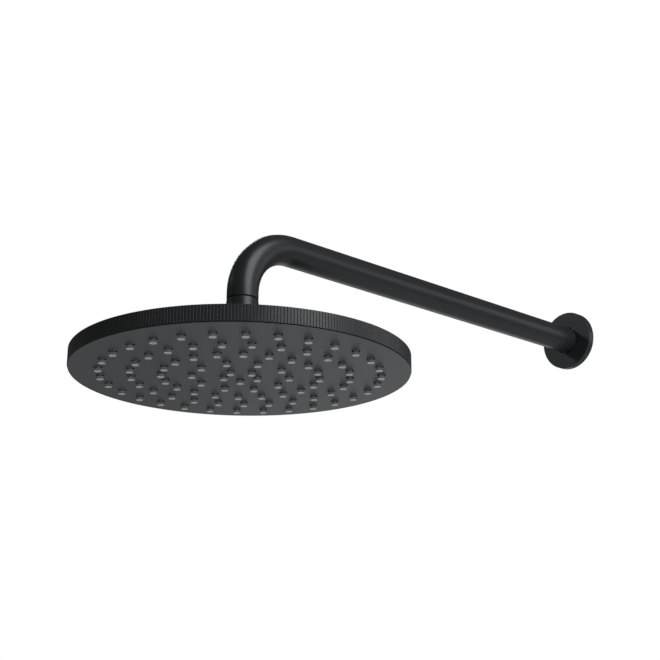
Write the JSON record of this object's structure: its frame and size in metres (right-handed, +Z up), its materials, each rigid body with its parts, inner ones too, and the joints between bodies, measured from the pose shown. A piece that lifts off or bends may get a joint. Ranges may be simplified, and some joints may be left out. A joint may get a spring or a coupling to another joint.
{
  "type": "wall-mounted rain shower head with arm",
  "caption": "Slim round overhead rain shower head on a bent horizontal wall arm, with a round wall flange, ball joint, ribbed rim and soft nozzles in rings.",
  "frame": {"origin": "centre of the wall flange's back face, on the arm's axis, where the arm's thread enters the wall", "axes": "+Z up, +Y into the wall, the arm reaches along -Y before it turns down to the head"},
  "size_m": [0.25, 0.541, 0.1394],
  "materials": {
    "coated_metal": "dark graphite powder coat, satin",
    "coated_rim": "dark graphite coat over fine upright ribs, satin",
    "coated_face": "dark graphite coat, smooth and matt",
    "nozzle_silicone": "soft grey silicone with paler tips",
    "brass": "machined brass",
    "rubber": "black sealing rubber",
    "acetal": "white low-friction plastic",
    "steel": "stainless steel",
    "moulded_plastic": "black moulded plastic"
  },
  "bodies": {
    "arm": {"arm_tube": "coated_metal", "inlet_nipple": "brass", "outlet_nipple": "coated_metal", "collar_nut": "coated_metal", "filter_washer": "rubber", "filter_screen": "steel", "flow_regulator": "acetal", "ball_stud": "brass"},
    "flange": {"wall_flange": "coated_metal", "flange_o_ring": "rubber"},
    "seat_ring": {"ball_seat": "acetal"},
    "seal_ring": {"ball_seal": "rubber"},
    "head": {"joint_cap": "coated_metal", "joint_socket": "coated_metal", "socket_gasket": "rubber", "lock_nut_washer": "steel", "socket_lock_nut": "brass", "back_shell": "coated_metal", "back_screws": "steel", "perimeter_gasket": "rubber", "spray_plate": "moulded_plastic", "flow_spreader": "moulded_plastic", "nozzle_mat": "nozzle_silicone", "face_plate": "coated_face", "ribbed_ring": "coated_rim"}
  },
  "joints": [
    {"name": "flange_slide", "type": "slide", "parent": "arm", "child": "flange", "axis": [0, -1, 0], "range_m": [0, 0.3]},
    {"name": "head_tilt_fore_aft", "type": "hinge", "parent": "arm", "child": "seat_ring", "pos_m": [0, -0.4, -0.084], "axis": [1, 0, 0], "range_deg": [-12, 12]},
    {"name": "head_tilt_sideways", "type": "hinge", "parent": "seat_ring", "child": "seal_ring", "pos_m": [0, -0.4, -0.084], "axis": [0, 1, 0], "range_deg": [-12, 12]},
    {"name": "head_spin", "type": "hinge", "parent": "seal_ring", "child": "head", "pos_m": [0, -0.4, -0.084], "axis": [0, 0, 1], "continuous": true}
  ]
}
